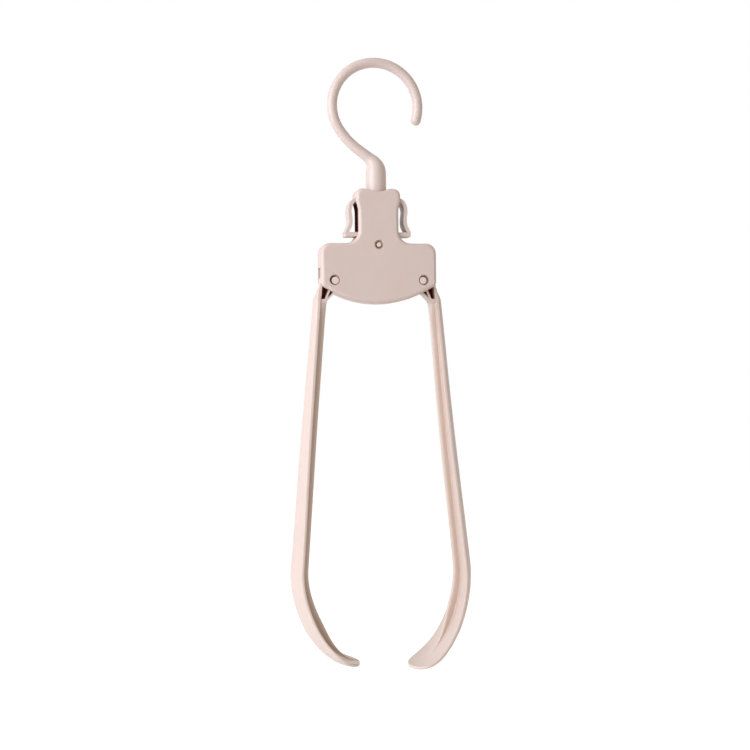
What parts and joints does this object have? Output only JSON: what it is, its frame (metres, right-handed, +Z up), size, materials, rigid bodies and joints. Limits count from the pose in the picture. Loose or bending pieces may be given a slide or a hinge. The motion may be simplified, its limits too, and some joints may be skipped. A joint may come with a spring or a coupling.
{
  "type": "folding travel hanger",
  "caption": "Pocket travel hanger, folded: swivel hook, T-shaped casing, curved arms that fold out, and squeeze levers beside the neck that unlock them.",
  "frame": {"origin": "where a rail touches the inside of the hook, at the top of its ring, in the casing's mid-plane", "axes": "+Z up along the hanging line, +X to the side that the hook is open to, -Y out of the face with the recessed pins"},
  "size_m": [0.0952, 0.0399, 0.3139],
  "materials": {
    "casing_plastic": "smooth moulded satin, pale pink-beige",
    "hook_plastic": "smooth moulded satin, pale pink-beige",
    "pin_plastic": "smooth moulded satin, pale pink-beige",
    "arm_plastic": "smooth moulded satin, pale pink-beige",
    "lever_plastic": "smooth moulded satin, pale pink-beige",
    "spring_steel": "bright drawn wire"
  },
  "bodies": {
    "hook": {"hook": "hook_plastic"},
    "casing": {"front_cover": "casing_plastic", "rear_cover": "casing_plastic", "left_pivot_pin": "pin_plastic", "right_pivot_pin": "pin_plastic", "centre_pin": "pin_plastic", "latch_spring": "spring_steel"},
    "left_arm": {"left_arm": "arm_plastic"},
    "right_arm": {"right_arm": "arm_plastic"},
    "left_release_lever": {"left_release_lever": "lever_plastic"},
    "right_release_lever": {"right_release_lever": "lever_plastic"}
  },
  "joints": [
    {"name": "hook_swivel", "type": "hinge", "parent": "hook", "child": "casing", "pos_m": [0, 0, -0.068], "axis": [0, 0, 1], "continuous": true},
    {"name": "left_arm_pivot", "type": "hinge", "parent": "casing", "child": "left_arm", "pos_m": [-0.0235, 0, -0.1108], "axis": [0, 1, 0], "range_deg": [0, 68]},
    {"name": "right_arm_pivot", "type": "hinge", "parent": "casing", "child": "right_arm", "pos_m": [0.0235, 0, -0.1108], "axis": [0, -1, 0], "range_deg": [0, 68]},
    {"name": "left_lever_pivot", "type": "hinge", "parent": "casing", "child": "left_release_lever", "pos_m": [-0.0083, 0, -0.0697], "axis": [0, -1, 0], "range_deg": [-1.6, 4.5], "stiffness_Nm_per_rad": 0.8, "deforming": ["latch_spring"]},
    {"name": "right_lever_pivot", "type": "hinge", "parent": "casing", "child": "right_release_lever", "pos_m": [0.0083, 0, -0.0697], "axis": [0, 1, 0], "range_deg": [-1.6, 4.5], "stiffness_Nm_per_rad": 0.8, "deforming": ["latch_spring"]}
  ]
}
